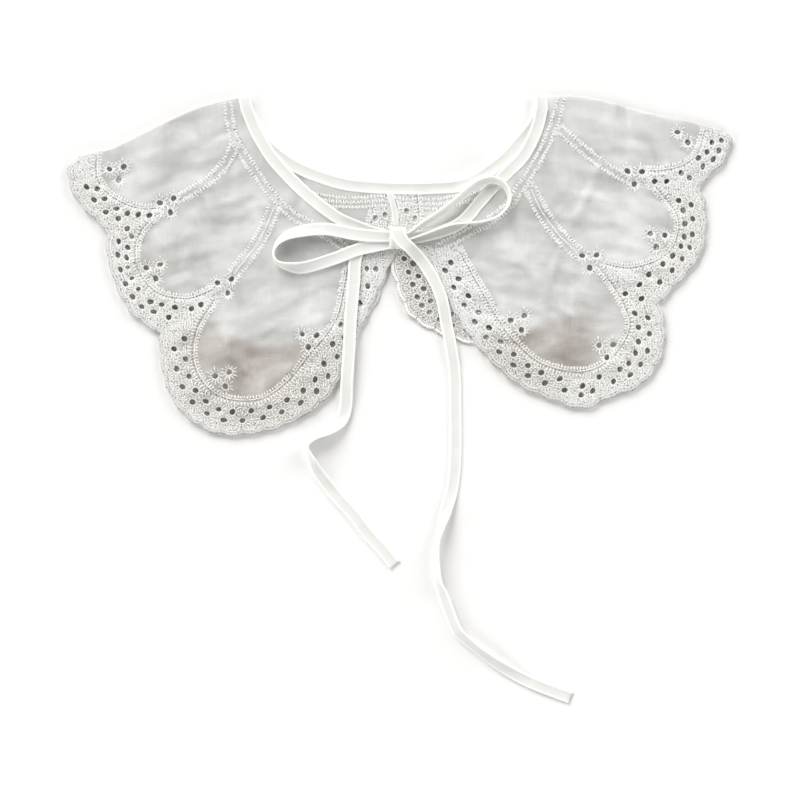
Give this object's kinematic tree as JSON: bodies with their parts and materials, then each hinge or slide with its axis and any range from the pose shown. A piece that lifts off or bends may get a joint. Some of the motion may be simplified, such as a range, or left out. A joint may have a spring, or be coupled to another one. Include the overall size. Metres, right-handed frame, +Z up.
{
  "type": "lace collar",
  "caption": "Detachable eyelet lace collar laid flat, with scalloped lobed panels folded at the shoulders, a bound neckline and ties knotted in a bow.",
  "frame": {"origin": "middle of the collar's footprint, on the surface that it lies on", "axes": "+X to the right of the laid-out collar as seen from above, +Y from the tie ends towards the shoulders, +Z up from the surface, through the cloth"},
  "size_m": [0.3985, 0.3648, 0.0105],
  "materials": {
    "lawn": "matt, slightly sheer white cotton lawn with white satin-stitch embroidery",
    "binding": "matt white folded cotton tape",
    "tie": "matt white cotton tape with a soft sheen"
  },
  "bodies": {
    "root": {"left_panel": "lawn", "right_panel": "lawn", "neck_binding": "binding", "bow_knot": "tie", "bow_loop_left": "tie", "bow_loop_right": "tie", "tie_tail_left": "tie", "tie_tail_right": "tie"}
  },
  "joints": []
}
